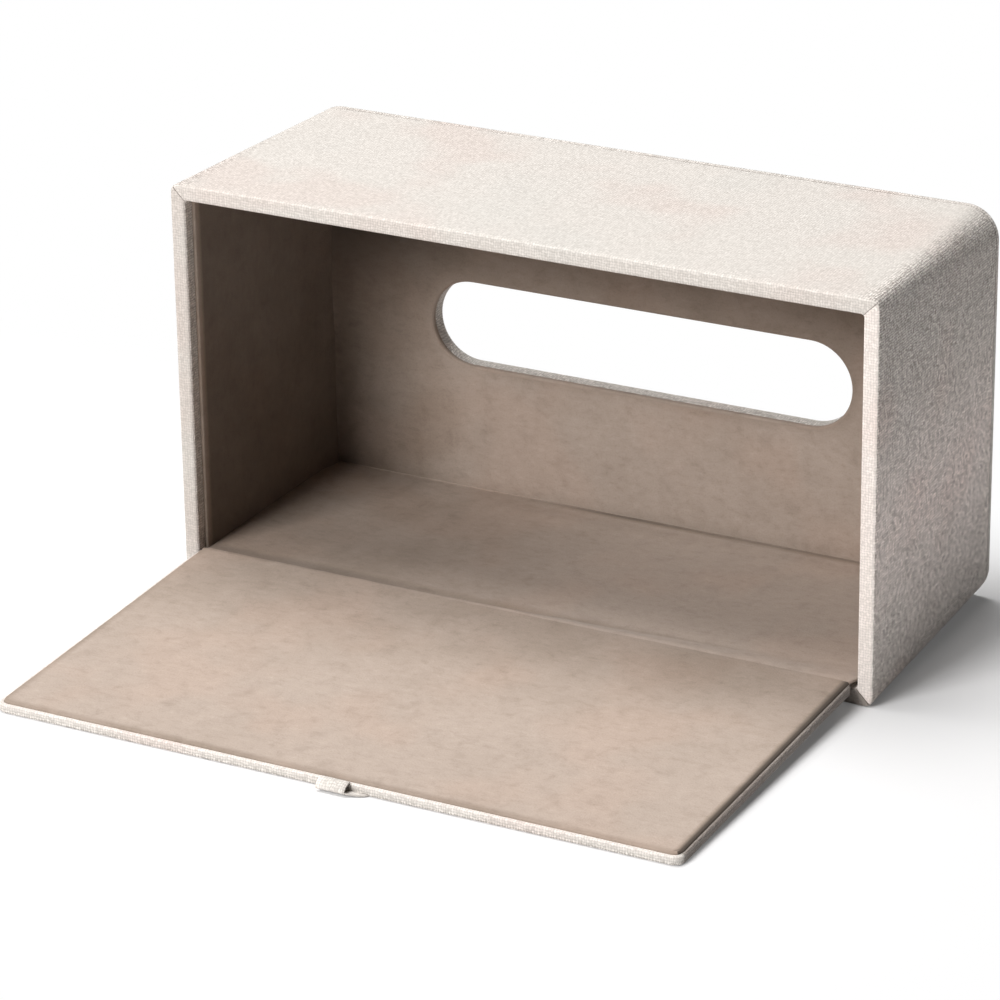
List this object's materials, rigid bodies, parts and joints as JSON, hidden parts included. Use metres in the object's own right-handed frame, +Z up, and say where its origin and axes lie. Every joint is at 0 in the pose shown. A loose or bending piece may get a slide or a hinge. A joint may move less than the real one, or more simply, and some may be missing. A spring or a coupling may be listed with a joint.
{
  "type": "tissue box",
  "caption": "Linen-wrapped board tissue box with a rounded slot in one face and a cloth-hinged base flap with a pull loop.",
  "frame": {"origin": "middle of the flat long side wall that the box rests on, at the table", "axes": "+X along the box's length, +Y from the open mouth to the slot panel, +Z up from the wall it rests on to the opposite long side"},
  "size_m": [0.25, 0.2222, 0.135],
  "materials": {
    "board": "grey-brown bookbinder's board, hidden under cloth",
    "linen": "fine plain-weave linen in pale oatmeal, glued taut",
    "linen_tape": "narrow linen tape",
    "suede": "matt taupe microsuede with a soft nap",
    "magnet": "nickel-plated bar magnets, hidden"
  },
  "bodies": {
    "box": {"top_wall_board": "board", "bottom_wall_board": "board", "left_end_board": "board", "right_end_board": "board", "slot_panel_board": "board", "wrap_linen": "linen", "base_linen": "linen", "slot_panel_linen": "linen", "floor_card": "board", "floor_suede": "suede", "ceiling_card": "board", "ceiling_suede": "suede", "left_card": "board", "left_suede": "suede", "right_card": "board", "right_suede": "suede", "back_card": "board", "back_suede": "suede", "rim_magnets": "magnet", "hinge_cloth": "suede"},
    "flap": {"flap_board": "board", "flap_linen": "linen", "flap_card": "board", "flap_suede": "suede", "flap_magnets": "magnet", "pull_loop": "linen_tape"}
  },
  "joints": [
    {"name": "flap_hinge", "type": "hinge", "parent": "box", "child": "flap", "pos_m": [0, -0.04688, 0.00498], "axis": [-1, 0, 0], "range_deg": [0, 92.15], "deforming": ["hinge_cloth", "pull_loop"]}
  ]
}
